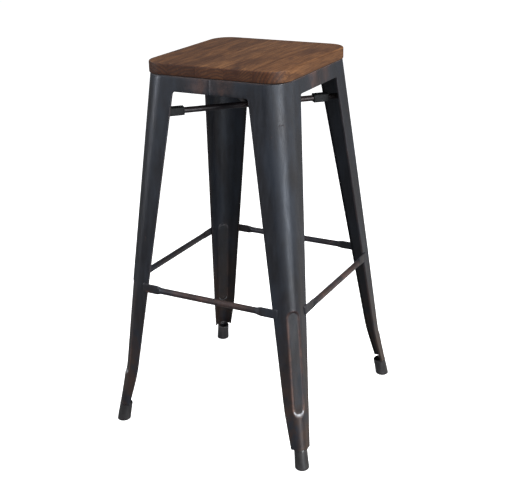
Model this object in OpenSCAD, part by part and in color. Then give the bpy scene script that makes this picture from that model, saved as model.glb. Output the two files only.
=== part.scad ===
// Bar stool: a pressed-sheet steel frame with four splayed legs, four footrest rails and a
// diagonal under-seat brace, topped by an edge-glued hardwood seat on a screwed-on steel pan.
// Origin: centre of the footprint on the floor. +Z up, front side faces -Y. Millimetres.

/* [Seat] */
// Height of the seat's top above the floor
total_h = 762; // [700:1:800]
// Width of the square wooden seat
seat_w = 302; // [290:1:302]
// Thickness of the wooden seat
seat_t = 23; // [18:0.5:28]
// Corner radius of the wooden seat, in plan
seat_corner_r = 41; // [30:1:44]
// Radius of the rounded edges of the wooden seat
seat_edge_r = 3; // [2:0.5:4]
// Number of boards glued edge to edge
plank_count = 5; // [5:1:5]

/* [Frame] */
// Thickness of the pressed steel sheet
sheet_t = 1.2; // [1:0.1:1.6]
// Width of the frame at its top edge
frame_w = 302; // [302:1:310]
// Sideways run of a leg face for each millimetre of drop
leg_slope = 0.093; // [0.085:0.001:0.1]
// Extra sideways run for each millimetre of drop below the ankle bend
ankle_slope = 0.055; // [0.04:0.005:0.06]
// Height of the ankle bend
ankle_z = 112; // [105:1:120]
// Outer corner radius of a leg at the top
corner_r_top = 46.5; // [44:0.5:48]
// Loss of corner radius for each millimetre of drop
corner_taper = 0.0453; // [0.044:0.0001:0.046]
// Width of a leg face at the top, from the frame's corner
face_w_top = 74.8; // [72:0.2:78]
// Loss of face width for each millimetre of drop
face_taper = 0.061; // [0.058:0.001:0.063]
// Height of the apron under the seat
apron_h = 29.5; // [26:0.5:34]
// Radius where the apron meets a leg's edge
window_r = 6; // [4:0.5:8]
// Depth of the inward-turned lip along the free edges
lip_d = 4; // [3:0.5:5]

/* [Flute] */
// Height of the flute's lower end
flute_z0 = 106; // [100:1:112]
// Height of the flute's upper end
flute_z1 = 318; // [300:1:330]
// Half the width of the flute, along the corner
flute_half_w = 13; // [10:0.5:13.5]
// Depth of the flute
flute_depth = 2.6; // [1.5:0.1:3]

/* [Footrest and braces] */
// Height of the footrest rails' axes
rail_z = 310; // [290:1:330]
// Diameter of the footrest rails
rail_d = 12.7; // [12:0.1:14]
// Height of the flattened rail ends
flat_h = 18.4; // [17:0.1:20]
// Thickness of the flattened rail ends
flat_t = 2.6; // [2.4:0.1:3.2]
// Height of the diagonal braces' axes
brace_z = 660; // [645:1:670]
// Diameter of the diagonal braces
brace_d = 12; // [10:0.5:12.5]
// Length of a stacking bumper
bumper_l = 32; // [28:1:36]
// Height of a stacking bumper
bumper_h = 17; // [16:0.5:19]
// Width of a stacking bumper
bumper_w = 18; // [16:0.5:20]

/* [Feet] */
// Sideways distance from the stool's centre to a foot's centre on the floor
foot_c = 212.4; // [211:0.1:213]
// Height of a foot
foot_h = 39; // [37:0.5:40]
// Foot diameter at the floor
foot_d0 = 28.4; // [27.6:0.1:29]
// Foot diameter at the top
foot_d1 = 26.4; // [25.4:0.1:27.4]
// Thickness of the rubber under the leg
foot_sole = 8; // [6:0.5:10]

/* [Hidden] */

frame_z = total_h - seat_t;            // top edge of the steel frame
seat_half = seat_w / 2;
frame_half = frame_w / 2;
plank_w = seat_w / plank_count;
window_z = frame_z - apron_h;          // underside of the apron
ankle_blend = 36;                      // the ankle bend is rounded over this far each way
ankle_face_taper = 0.05;               // extra loss of face width below the ankle
toe_z = 40;                            // the leg faces end here, above the foot
tongue_z = foot_h - 3;                 // the sheet's corner is inside the foot from here down
tongue_r = 10.2;                       // radius of that corner, the leg's tongue
tongue_side = 2.5;                     // flat either side of it
socket_r = 10.9;                       // clears the tongue
flute_end = 13;                        // length of the flute's rounded ends
arc_steps = 16;                        // facets around a leg's corner
fillet_steps = 5;                      // facets around a window's corner
fillet_rise = 4;                       // how far a window's corner spreads up the leg's own corner
seam_rise = 8;                         // the same for the apron's underside
bare_in = [0.3, 0.7];                  // corner knocked off a bare sheet edge, in thicknesses
bare_out = [1.3, 1.03];                // and where its inside ends

pan_gap = 0.2;                         // between the pan's rim and the legs
pan_rim = 18;                          // depth of the pan's turned-down rim
screw_xy = 108;                        // the seat screws' distance from each centreline
screw_r = 2;
screw_l = 16;
screw_head_r = 4.6;
screw_head_h = 2.8;
washer_r = 6.5;
washer_t = 1;
hole_slack = 0.05;                     // round a screw in the wood
washer_slack = 0.3;                    // round a screw in its washer
pan_hole_slack = 0.7;                  // round a screw in the pan
slot_l = 5.2;                          // cross slots in a screw's head
slot_w = 1;
slot_depth = 1.6;
spare = 1;                             // how far a cutting shape runs past what it cuts

rail_overlap = 10;                     // the flattened end lies this far over a leg face
rail_flat_l = 23;                      // flattened length beyond the leg's edge
rail_swell_l = 13;                     // length over which the flat becomes round
rail_wall = 1.2;
rail_stop = 4;                         // solid length left at each end of the rail's bore
bumper_s = 134;                        // where a bumper starts, measured along its brace
bumper_bevel = 2;
bumper_slack = 0.1;                    // the bumper's hole is this much wider than its brace
foot_band = 3;                         // height of the straight band round a foot's base
foot_below = 8;                        // the leaning foot starts this far below its cut
weld_gap = 0.3;                        // left for the weld at a brace's end
eps = 0.02;

steel = [0.25, 0.25, 0.27];
dark_steel = [0.2, 0.2, 0.22];
wood_tones = [[0.42, 0.30, 0.22], [0.46, 0.33, 0.24], [0.39, 0.28, 0.2], [0.45, 0.32, 0.23],
              [0.41, 0.3, 0.21]];
zinc = [0.7, 0.7, 0.72];
black_plastic = [0.09, 0.09, 0.1];
rubber = [0.2, 0.19, 0.19];

// ---- the leg's driving formulas, as functions of the height z ----

// sideways run added below the ankle, with a rounded start
function ankle_run(z) =
    let (d = ankle_z + ankle_blend - z)
    d <= 0 ? 0
    : d < 2 * ankle_blend ? ankle_slope * d * d / (4 * ankle_blend)
    : ankle_slope * (d - ankle_blend);

// half the frame's outer width
function half_at(z) = frame_half + (frame_z - z) * leg_slope + ankle_run(z);

// outer corner radius
function corner_r(z) = corner_r_top - (frame_z - z) * corner_taper;

// distance from the centreline to a leg face's free edge
function edge_at(z) =
    half_at(z) - face_w_top + (frame_z - z) * face_taper
    + max(0, ankle_z - z) * ankle_face_taper;

// centre of the foot, which leans with the leg below the ankle
function foot_axis(z) = foot_c - (leg_slope + ankle_slope) * z;

// half-width of the flute, which has round ends
function flute_half_at(z) =
    z <= flute_z0 || z >= flute_z1 ? 0
    : let (d = min(z - flute_z0, flute_z1 - z, flute_end))
      flute_half_w * sqrt(1 - pow(1 - d / flute_end, 2));

// depth of the flute at an arc length from the corner's ridge
function flute_at(z, s) =
    let (hw = flute_half_at(z))
    hw <= 0 || abs(s) >= hw ? 0 : flute_depth * (1 - pow(abs(s) / hw, 4)) * min(1, hw / 6);

// ---- one pressed leg with its two half-aprons ----
// A row is a line across the sheet: [corner height, half-width, corner radius,
// edge distance, edge height, direction of the lip's thickness (across, up), lip depth or 0]

function leg_row(z, lip) =
    [z, half_at(z), corner_r(z), edge_at(z), z, 1, 0, lip];

function tongue_row(z) =
    let (h = foot_axis(z) + tongue_r)
    [z, h, tongue_r, h - tongue_r - tongue_side, z, 1, 0, 0];

lip_heights = [50, 60, 74, 90, 98, 102, 106, 109, 113, 118, 130, 146, 180, 220, 260, 290, 302,
               308, 312, 315, 318, 324, 380, 460, 540, 620];
fillet_z = window_z - window_r;
fillet_edge = edge_at(fillet_z) - window_r;

// the rounded corner between a leg's edge and the apron's underside
fillet_rows = [for (k = [0 : fillet_steps])
    let (a = 90 * k / fillet_steps, z = fillet_z + (window_r + fillet_rise) * k / fillet_steps)
    [z, half_at(z), corner_r(z), fillet_edge + window_r * cos(a),
     fillet_z + window_r * sin(a), cos(a), sin(a), lip_d]];

seam_low_z = window_z + seam_rise;
seam_rows = [[seam_low_z, half_at(seam_low_z), corner_r(seam_low_z), 0, window_z, 0, 1, lip_d],
             [frame_z, frame_half, corner_r(frame_z), 0, frame_z, 1, 0, 0]];

leg_rows = concat([tongue_row(foot_sole), tongue_row(tongue_z)],
                  [leg_row(toe_z, 0)],
                  [for (z = lip_heights) leg_row(z, lip_d)],
                  fillet_rows, seam_rows);

// points of one leg face near its free edge: outer edge, lip tip, inside of the tip, inner edge
function edge_points(row) =
    let (u = row[3], v = row[4], du = row[5], dv = row[6], lip = row[7],
         y = -half_at_row(row), t = sheet_t)
    lip > 0
    ? [[u, y, v], [u, y + lip, v], [u + t * du, y + lip, v + t * dv],
       [u + t * du, y + t, v + t * dv]]
    : [[u, y, v], [u, y + bare_in[1] * t, v], [u + bare_in[0] * t, y + t, v],
       [u + bare_out[0] * t, y + bare_out[1] * t, v]];

// the face's own distance from the centre at its free edge
function half_at_row(row) = row[0] == row[4] ? row[1] : half_at(row[4]);

// mirrors a point of the front face into the side face
function across(p) = [-p[1], -p[0], p[2]];

function arc_point(row, k, inset) =
    let (a = -90 + 90 * k / arc_steps, c = row[1] - row[2],
         s = (a + 45) * PI / 180 * row[2],
         r = row[2] - inset - flute_at(row[0], s))
    [c + r * cos(a), -c + r * sin(a), row[0]];

// the closed outline of one row: outside from the front face to the side face, then back inside
function row_outline(row) =
    let (e = edge_points(row))
    concat([e[1], e[0]],
           [for (k = [0 : arc_steps]) arc_point(row, k, 0)],
           [across(e[0]), across(e[1]), across(e[2]), across(e[3])],
           [for (k = [arc_steps : -1 : 0]) arc_point(row, k, sheet_t)],
           [e[3], e[2]]);

module lofted(outlines) {
    n = len(outlines[0]);
    m = len(outlines);
    sides = [for (j = [0 : m - 2], k = [0 : n - 1])
        let (a = j * n + k, b = j * n + (k + 1) % n)
        each [[a, a + n, b + n], [a, b + n, b]]];
    // an end is a strip of quads from each outside point to the inside point behind it
    ends = [for (first = [0, (m - 1) * n], k = [0 : n / 2 - 2])
        let (a = first + k, b = first + n - 1 - k)
        each first == 0 ? [[a, a + 1, b - 1], [a, b - 1, b]]
                        : [[b - 1, a + 1, a], [b, b - 1, a]]];
    polyhedron([for (o = outlines) each o], concat(sides, ends), convexity = 10);
}

module leg() {
    color(steel) lofted([for (row = leg_rows) row_outline(row)]);
}

// the four places of a leg, a bumper or a foot, from the front right one
module at_corner(sx, sy) {
    mirror([sx < 0 ? 1 : 0, 0, 0]) mirror([0, sy > 0 ? 1 : 0, 0]) children();
}

// ---- seat ----

module rounded_square(half, r) {
    square([2 * half, 2 * (half - r)], center = true);
    square([2 * (half - r), 2 * half], center = true);
    for (x = [-1, 1], y = [-1, 1])
        translate([x * (half - r), y * (half - r)]) circle(r = r, $fn = 64);
}

module seat_slab() {
    hull()
        for (k = [0 : 3], top = [0, 1]) {
            a = 30 * k;
            inset = seat_edge_r * (1 - sin(a));
            drop = seat_edge_r * (1 - cos(a));
            z = top ? total_h - drop - eps : frame_z + drop;
            translate([0, 0, z])
                linear_extrude(eps) rounded_square(seat_half - inset, seat_corner_r - inset);
        }
}

module screw_holes(r, z, l) {
    for (x = [-1, 1], y = [-1, 1])
        translate([x * screw_xy, y * screw_xy, z]) cylinder(r = r, h = l, $fn = 32);
}

// the boards on the left mirror those on the right
module plank(n) {
    right = max(n, plank_count + 1 - n);
    x0 = -seat_half + (right - 1) * plank_w;
    x1 = x0 + plank_w + (right == plank_count ? spare : 0);
    color(wood_tones[n - 1])
        mirror([n < right ? 1 : 0, 0, 0])
            difference() {
                intersection() {
                    seat_slab();
                    translate([x0, -seat_half - spare, frame_z - spare])
                        cube([x1 - x0, seat_w + 2 * spare, seat_t + 2 * spare]);
                }
                screw_holes(screw_r + hole_slack, frame_z - spare, screw_l);
            }
}

module seat_pan() {
    half = frame_half - sheet_t - pan_gap;
    r = corner_r_top - sheet_t - pan_gap;
    color(dark_steel) {
        difference() {
            translate([0, 0, frame_z - pan_rim]) linear_extrude(pan_rim) rounded_square(half, r);
            translate([0, 0, frame_z - pan_rim - spare])
                linear_extrude(pan_rim + spare - sheet_t)
                    rounded_square(half - sheet_t, r - sheet_t);
            screw_holes(screw_r + pan_hole_slack, frame_z - sheet_t - spare, sheet_t + 2 * spare);
        }
    }
}

module seat_washers() {
    color(zinc)
        difference() {
            screw_holes(washer_r, frame_z - sheet_t - washer_t, washer_t);
            screw_holes(screw_r + washer_slack, frame_z - sheet_t - washer_t - spare,
                        washer_t + 2 * spare);
        }
}

module seat_screws() {
    z = frame_z - sheet_t - washer_t;
    color(zinc)
        for (x = [-1, 1], y = [-1, 1])
            translate([x * screw_xy, y * screw_xy, z]) {
                cylinder(r = screw_r, h = screw_l, $fn = 32);
                difference() {
                    translate([0, 0, -screw_head_h])
                        cylinder(r1 = screw_head_r - 1, r2 = screw_head_r, h = screw_head_h,
                                 $fn = 48);
                    for (a = [0, 90])
                        rotate(a)
                            translate([-slot_l / 2, -slot_w / 2, -screw_head_h - spare])
                                cube([slot_l, slot_w, slot_depth + spare]);
                }
            }
}

// ---- footrest rails ----

// a flattened section of the rail tube, standing across X at the given place
module flat_section(x, l) {
    translate([x, 0, 0])
        hull()
            for (z = [-1, 1])
                translate([0, 0, z * (flat_h - flat_t) / 2])
                    rotate([0, 90, 0]) cylinder(d = flat_t, h = l, $fn = 24);
}

module rail_end() {
    edge = edge_at(rail_z);
    flat_from = edge - rail_flat_l;
    round_to = flat_from - rail_swell_l;
    flat_section(flat_from, edge + rail_overlap - flat_from);
    hull() {
        flat_section(flat_from, eps);
        translate([round_to, 0, 0]) rotate([0, 90, 0]) cylinder(d = rail_d, h = eps, $fn = 48);
    }
}

// the front rail; the flat ends lie on the outside of the leaning leg faces
module rail() {
    lean = atan(leg_slope);
    reach = edge_at(rail_z) - rail_flat_l - rail_swell_l;
    color(steel)
        translate([0, -half_at(rail_z) - (flat_t / 2) / cos(lean), rail_z])
            rotate([-lean, 0, 0]) {
                difference() {
                    translate([-reach, 0, 0])
                        rotate([0, 90, 0]) cylinder(d = rail_d, h = 2 * reach, $fn = 48);
                    translate([-reach + rail_stop, 0, 0])
                        rotate([0, 90, 0])
                            cylinder(d = rail_d - 2 * rail_wall, h = 2 * (reach - rail_stop),
                                     $fn = 48);
                }
                rail_end();
                mirror([1, 0, 0]) rail_end();
            }
}

// ---- diagonal braces, crossing under the seat ----

brace_reach = (half_at(brace_z) - corner_r(brace_z)) * sqrt(2) + corner_r(brace_z)
              - sheet_t - weld_gap;

module brace(from, to, angle) {
    color(steel)
        translate([0, 0, brace_z]) rotate(angle) translate([from, 0, 0])
            rotate([0, 90, 0]) cylinder(d = brace_d, h = to - from, $fn = 48);
}

// a clip-on plastic block on the brace beside a leg, which keeps stacked stools apart
module bumper() {
    color(black_plastic)
        translate([0, 0, brace_z]) rotate(-45) translate([bumper_s, 0, 0])
            rotate([90, 0, 90])
                linear_extrude(bumper_l)
                    difference() {
                        square([bumper_w, bumper_h], center = true);
                        circle(d = brace_d + bumper_slack, $fn = 48);
                        for (x = [-1, 1], y = [-1, 1])
                            translate([x * bumper_w / 2, y * bumper_h / 2])
                                rotate(45)
                                    square(bumper_bevel * sqrt(2), center = true);
                    }
}

// ---- feet ----

// places something along the foot's leaning axis
module lean_out() {
    lean = atan((leg_slope + ankle_slope) * sqrt(2));
    translate([foot_c, -foot_c, 0]) rotate(-45) rotate([0, -lean, 0]) children();
}

// everything round a foot from one height up
module above(z) {
    block = 2 * foot_h;
    translate([foot_c - block / 2, -foot_c - block / 2, z]) cube(block);
}

module foot() {
    color(rubber)
        difference() {
            intersection() {
                lean_out() {
                    translate([0, 0, -foot_below])
                        cylinder(d = foot_d0, h = foot_below + foot_band, $fn = 64);
                    translate([0, 0, foot_band])
                        cylinder(d1 = foot_d0, d2 = foot_d1, h = foot_h - foot_band, $fn = 64);
                }
                above(0);
            }
            intersection() {
                lean_out() cylinder(r = socket_r, h = foot_h + spare, $fn = 64);
                above(foot_sole);
            }
        }
}

plank(1);  // seat_plank_1
plank(2);  // seat_plank_2
plank(3);  // seat_plank_3
plank(4);  // seat_plank_4
plank(5);  // seat_plank_5
seat_pan();
seat_screws();
seat_washers();
at_corner(-1, -1) leg();  // leg_front_left
at_corner(1, -1) leg();  // leg_front_right
at_corner(-1, 1) leg();  // leg_rear_left
at_corner(1, 1) leg();  // leg_rear_right
rail();  // rail_front
rotate(180) rail();  // rail_rear
rotate(-90) rail();  // rail_left
rotate(90) rail();  // rail_right
brace(-brace_reach, brace_reach, 45);  // brace_long
brace(brace_d / 2 + eps, brace_reach, -45);  // brace_short_front
brace(brace_d / 2 + eps, brace_reach, 135);  // brace_short_rear
at_corner(-1, -1) bumper();  // bumper_front_left
at_corner(1, -1) bumper();  // bumper_front_right
at_corner(-1, 1) bumper();  // bumper_rear_left
at_corner(1, 1) bumper();  // bumper_rear_right
at_corner(-1, -1) foot();  // foot_front_left
at_corner(1, -1) foot();  // foot_front_right
at_corner(-1, 1) foot();  // foot_rear_left
at_corner(1, 1) foot();  // foot_rear_right
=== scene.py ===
"""Looks for the bar stool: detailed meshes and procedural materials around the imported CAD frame.

Meshes are drawn in millimetres in the CAD's frame, with the origin on the floor at the stool's centre,
+Z up and the front towards -Y, and are turned into metres as they are made.
"""

import math

import bmesh
import bpy
from mathutils import Matrix, Vector


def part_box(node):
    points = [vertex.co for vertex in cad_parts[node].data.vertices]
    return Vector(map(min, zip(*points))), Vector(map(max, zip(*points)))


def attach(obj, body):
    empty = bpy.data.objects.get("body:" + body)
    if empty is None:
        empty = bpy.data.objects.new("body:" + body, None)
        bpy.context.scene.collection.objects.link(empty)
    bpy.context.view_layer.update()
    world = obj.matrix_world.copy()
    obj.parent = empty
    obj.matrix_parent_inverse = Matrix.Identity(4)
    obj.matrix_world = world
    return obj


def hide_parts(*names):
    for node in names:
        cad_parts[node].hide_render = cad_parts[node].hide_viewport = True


MM = 0.001
ROOT = "root"
CORNERS = {"front_left": (-1, -1), "front_right": (1, -1), "rear_left": (-1, 1), "rear_right": (1, 1)}

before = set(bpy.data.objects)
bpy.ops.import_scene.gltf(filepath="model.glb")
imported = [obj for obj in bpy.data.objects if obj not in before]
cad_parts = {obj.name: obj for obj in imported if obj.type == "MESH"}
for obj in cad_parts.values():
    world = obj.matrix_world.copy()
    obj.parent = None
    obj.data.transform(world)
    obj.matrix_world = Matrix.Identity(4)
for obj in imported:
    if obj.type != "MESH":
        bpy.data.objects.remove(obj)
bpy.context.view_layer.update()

# ---- driving dimensions, in millimetres, the same as the CAD's ----
TOTAL_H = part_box("seat_plank_3")[1].z / MM
FRAME_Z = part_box("seat_pan")[1].z / MM
SEAT_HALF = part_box("seat_plank_5")[1].x / MM
SEAT_R = 41
SEAT_EDGE_R = 3
PLANKS = 5
FRAME_HALF = 151
SHEET_T = 1.2
LEG_SLOPE = 0.093
ANKLE_SLOPE = 0.055
ANKLE_Z = 112
ANKLE_BLEND = 36
ANKLE_FACE_TAPER = 0.05
CORNER_R_TOP = 46.5
CORNER_TAPER = 0.0453
FACE_W_TOP = 74.8
FACE_TAPER = 0.061
WINDOW_Z = FRAME_Z - 29.5
WINDOW_R = 6
LIP_D = 4
LIP_BEND = 1.6
LIP_RUB = 0.08
TOP_RUB = 0.3
# painted highlight along the sheet's rolled top edge
TOP_PAINTED_GLINT = -0.55
JOGGLE_RUB = 0.2
TOP_ROLL = 2.6
SHEET_BEVEL = 0.15
TOE_Z = 40
JOGGLE_HIGH = 39.6
JOGGLE_LOW = 35.8
TONGUE_R = 10.2
FLUTE_LOW = 106
FLUTE_HIGH = 318
FLUTE_HALF_W = 13
FLUTE_DEPTH = 2.6
FLUTE_WALL = 4.2
FLUTE_END_DEPTH = 1.0
FLUTE_END_WALL = 2.2
FLUTE_FLOOR = 8.5
FLUTE_RAMP_TOP = FLUTE_LOW + 22
FLUTE_RAMP_L = 16
RAIL_Z = 310
RAIL_R = 6.35
FLAT_HALF = 9.2
FLAT_T = 2.6
RAIL_OVERLAP = 10
RAIL_FLAT_L = 23
RAIL_SWELL_L = 13
RAIL_CORNER = 3.2
BRACE_Z = 660
BRACE_R = 6
BUMPER_S = 134
BUMPER_L = 32
BUMPER_H = 17
BUMPER_W = 18
BUMPER_CORNER_R = 2.6
BORE_GAP = 0.05
BORE_SINK = 0.6
FOOT_C = 212.4
FOOT_H = 39
FOOT_R_LOW = 14.1
FOOT_R_TOP = 13.2
FOOT_SOLE = 8
FOOT_LEAN = (LEG_SLOPE + ANKLE_SLOPE) * math.sqrt(2)
SOCKET_R = 10.9


# ---- camera, floor and light ----
CAMERA_AZIMUTH = math.radians(28.53)
CAMERA_ELEVATION = math.radians(21.20)
CAMERA_ROLL = math.radians(-1.47)
CAMERA_DISTANCE = 2.0656
CAMERA_AIM_RIGHT = 0.01583
CAMERA_AIM_UP = 0.36669
CAMERA_LENS = 67.9
CAMERA_SENSOR = 36
CAMERA_CLIP = 200
LIGHT_AIM_Z = 0.4


def make_camera():
    """The main view: azimuth from the front towards +X, then a slight roll."""
    ca, sa = math.cos(CAMERA_AZIMUTH), math.sin(CAMERA_AZIMUTH)
    ce, se = math.cos(CAMERA_ELEVATION), math.sin(CAMERA_ELEVATION)
    forward = Vector((-sa * ce, ca * ce, -se))
    level = Vector((ca, sa, 0))
    up = level.cross(forward)
    right = level * math.cos(CAMERA_ROLL) + up * math.sin(CAMERA_ROLL)
    above = up * math.cos(CAMERA_ROLL) - level * math.sin(CAMERA_ROLL)
    place = level * CAMERA_AIM_RIGHT + Vector((0, 0, CAMERA_AIM_UP)) - forward * CAMERA_DISTANCE
    data = bpy.data.cameras.new("camera")
    data.lens = CAMERA_LENS
    data.sensor_width = CAMERA_SENSOR
    data.clip_end = CAMERA_CLIP
    camera = bpy.data.objects.new("camera", data)
    turn = Matrix((right, above, -forward)).transposed().to_4x4()
    camera.matrix_world = Matrix.Translation(place) @ turn
    bpy.context.scene.collection.objects.link(camera)
    bpy.context.scene.camera = camera


def area_light(name, azimuth, elevation, distance, size, power, colour=(1, 1, 1)):
    """A soft box aimed at the stool's middle; azimuth 0 is in front and 90 is at +X; metres and watts."""
    a, e = math.radians(azimuth), math.radians(elevation)
    away = Vector((math.sin(a) * math.cos(e), -math.cos(a) * math.cos(e), math.sin(e)))
    data = bpy.data.lights.new(name, "AREA")
    data.shape = "RECTANGLE"
    data.size, data.size_y = size
    data.energy = power
    data.color = colour
    light = bpy.data.objects.new(name, data)
    light.location = Vector((0, 0, LIGHT_AIM_Z)) + away * distance
    light.rotation_mode = "QUATERNION"
    light.rotation_quaternion = (-away).to_track_quat("-Z", "Y")
    bpy.context.scene.collection.objects.link(light)


def make_lights():
    area_light("ridge_box", 60, 8, 2.6, (1.15, 2.2), 62, (0.93, 0.97, 1.0))
    area_light("right_box", 116, 8, 3.0, (3.0, 1.9), 20, (1.0, 0.97, 0.91))
    area_light("floor_bounce", 130, -22, 2.9, (2.6, 1.2), 7, (1.0, 0.93, 0.85))
    area_light("front_box", 26, 14, 3.0, (1.7, 1.8), 11)
    area_light("top_box", 40, 72, 2.6, (2.0, 2.0), 30, (1.0, 0.98, 0.95))
    area_light("left_box", -54, 16, 3.0, (0.8, 2.0), 38, (0.93, 0.95, 1.0))
    area_light("glint_box", 76, 52, 1.9, (0.3, 0.3), 26)
    area_light("rear_box", 268, 38, 3.0, (1.6, 1.6), 18)


# ---- node helpers ----
def node(tree, kind, inputs=None, **settings):
    """Adds a node; an input given as a socket is linked, any other value is set."""
    made = tree.nodes.new(kind)
    for key, value in settings.items():
        setattr(made, key, value)
    for key, value in (inputs or {}).items():
        if isinstance(value, bpy.types.NodeSocket):
            tree.links.new(value, made.inputs[key])
        else:
            made.inputs[key].default_value = value
    return made


def maths(tree, operation, a, b=0.0, clamp=False):
    return node(tree, "ShaderNodeMath", {0: a, 1: b}, operation=operation, use_clamp=clamp).outputs[0]


def smooth_range(tree, value, low, high, to_low=0.0, to_high=1.0):
    inputs = {"Value": value, "From Min": low, "From Max": high, "To Min": to_low, "To Max": to_high}
    return node(tree, "ShaderNodeMapRange", inputs, interpolation_type="SMOOTHSTEP").outputs[0]


def linear(colour):
    """sRGB 0-255 to a linear RGBA."""
    def channel(c):
        c = c / 255
        return c / 12.92 if c <= 0.04045 else ((c + 0.055) / 1.055) ** 2.4
    return (*(channel(c) for c in colour), 1.0)


def mix(tree, share, a, b, blend="MIX"):
    """Mixes two colours; a and b are sockets or linear RGBA."""
    made = tree.nodes.new("ShaderNodeMix")
    made.data_type = "RGBA"
    made.blend_type = blend
    made.clamp_factor = True
    for index, value in ((0, share), (6, a), (7, b)):
        if isinstance(value, bpy.types.NodeSocket):
            tree.links.new(value, made.inputs[index])
        else:
            made.inputs[index].default_value = value
    return made.outputs[2]


def noise(tree, coords, stretch, scale, detail=3.0, roughness=0.55, offset=(0, 0, 0)):
    """Noise over the frame's own coordinates; stretch squeezes each axis before the scale."""
    mapped = node(tree, "ShaderNodeMapping", {"Vector": coords, "Scale": stretch, "Location": offset})
    inputs = {"Vector": mapped.outputs[0], "Scale": scale, "Detail": detail, "Roughness": roughness}
    return node(tree, "ShaderNodeTexNoise", inputs).outputs["Fac"]


def new_material(name):
    material = bpy.data.materials.new(name)
    material.use_nodes = True
    tree = material.node_tree
    shader = tree.nodes["Principled BSDF"]
    coords = tree.nodes.new("ShaderNodeTexCoord").outputs["Object"]
    return material, tree, shader, coords


def bump(tree, shader, height, distance, strength=1.0):
    made = node(tree, "ShaderNodeBump", {"Height": height, "Distance": distance, "Strength": strength})
    tree.links.new(made.outputs[0], shader.inputs["Normal"])


# ---- mesh helpers ----
def grid_faces(rows, columns, first=0, closed=False):
    """Quads over a grid of points kept row by row."""
    last = columns if closed else columns - 1
    faces = []
    for j in range(rows - 1):
        for k in range(last):
            a = first + j * columns + k
            b = first + j * columns + (k + 1) % columns
            faces.append((a, b, b + columns, a + columns))
    return faces


def finish_mesh(obj, angle):
    for face in obj.data.polygons:
        face.use_smooth = True
    obj.data.set_sharp_from_angle(angle=math.radians(angle))


def mesh_piece(name, points, faces, material, angle=35, rub=None, shade_and_glint=None, weld=0.02):
    """A piece from points in millimetres: welded, facing outwards, riding on the stool's one body."""
    mesh = bpy.data.meshes.new(name)
    mesh.from_pydata([Vector(p) * MM for p in points], [], faces)
    for label, values in (("rub", rub), ("shade_and_glint", shade_and_glint)):
        if values is not None:
            mesh.attributes.new(label, "FLOAT", "POINT").data.foreach_set("value", values)
    work = bmesh.new()
    work.from_mesh(mesh)
    bmesh.ops.remove_doubles(work, verts=work.verts, dist=weld * MM)
    bmesh.ops.recalc_face_normals(work, faces=work.faces)
    work.to_mesh(mesh)
    work.free()
    piece = bpy.data.objects.new(name, mesh)
    bpy.context.scene.collection.objects.link(piece)
    mesh.materials.append(material)
    finish_mesh(piece, angle)
    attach(piece, ROOT)
    return piece


def mirrored(points, sx, sy):
    """Mirrors points of the front right corner into the corner with these signs."""
    return [(p[0] * sx, p[1] * -sy, p[2]) for p in points]


def quarter(steps):
    """Angles from 0 to 90 degrees."""
    return [90 * k / steps for k in range(steps + 1)]


def cosd(a):
    return math.cos(math.radians(a))


def sind(a):
    return math.sin(math.radians(a))


def smoothstep(t):
    t = min(1, max(0, t))
    return t * t * (3 - 2 * t)


# ---- the leg's formulas, the same as the CAD's ----
def ankle_run(z):
    """How far the leg has splayed out below its ankle's bend."""
    d = ANKLE_Z + ANKLE_BLEND - z
    if d <= 0:
        return 0
    if d < 2 * ANKLE_BLEND:
        return ANKLE_SLOPE * d * d / (4 * ANKLE_BLEND)
    return ANKLE_SLOPE * (d - ANKLE_BLEND)


def half_at(z):
    """From the stool's centre to the outside of a leg's flat face."""
    return FRAME_HALF + (FRAME_Z - z) * LEG_SLOPE + ankle_run(z)


def corner_r(z):
    """Radius of the leg's rounded corner."""
    return CORNER_R_TOP - (FRAME_Z - z) * CORNER_TAPER


def edge_at(z):
    """From the stool's centre along a side to the leg's free edge."""
    taper = (FRAME_Z - z) * FACE_TAPER + max(0, ANKLE_Z - z) * ANKLE_FACE_TAPER
    return half_at(z) - FACE_W_TOP + taper


def foot_axis(z):
    """X of the foot's axis, which leans with the leg below its ankle."""
    return FOOT_C - (LEG_SLOPE + ANKLE_SLOPE) * z


def flute_inside(z, s):
    """How far a point of the sheet lies inside the flute's outline, a slot with round ends."""
    beyond = max(0, FLUTE_LOW + FLUTE_HALF_W - z, z - FLUTE_HIGH + FLUTE_HALF_W)
    return FLUTE_HALF_W - math.hypot(s, beyond)


def flute_depth(z, s):
    """Depth below the round corner: a wall, then a flattened floor, deeper near the lower end."""
    near_end = smoothstep((FLUTE_RAMP_TOP - z) / FLUTE_RAMP_L)
    share = min(1, max(0, flute_inside(z, s) / (FLUTE_WALL + FLUTE_END_WALL * near_end)))
    flatten = max(0, FLUTE_FLOOR ** 2 - s * s) / (2 * corner_r(z))
    return (FLUTE_DEPTH + FLUTE_END_DEPTH * near_end + flatten) * (1 - (1 - share) ** (2 - near_end))


FILLET_Z = WINDOW_Z - WINDOW_R
FILLET_X = edge_at(FILLET_Z) - WINDOW_R
SHEET_END = WINDOW_Z + LIP_BEND


def spaced(low, high, step):
    """Evenly spaced heights from low up to but not including high."""
    count = max(1, round((high - low) / step))
    return [low + (high - low) * k / count for k in range(count)]


def leg_heights():
    """Heights of the leg's rows below the window's corner, closer where the sheet bends."""
    edges = (TOE_Z, FLUTE_LOW - 10, FLUTE_LOW - 2, FLUTE_LOW + 16, FLUTE_HIGH - 18, FLUTE_HIGH - 14,
             FLUTE_HIGH + 3, FLUTE_HIGH + 12, FILLET_Z)
    steps = (4, 2, 0.9, 7, 2, 0.9, 3, 9)
    return [z for low, high, step in zip(edges, edges[1:], steps) for z in spaced(low, high, step)]


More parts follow.
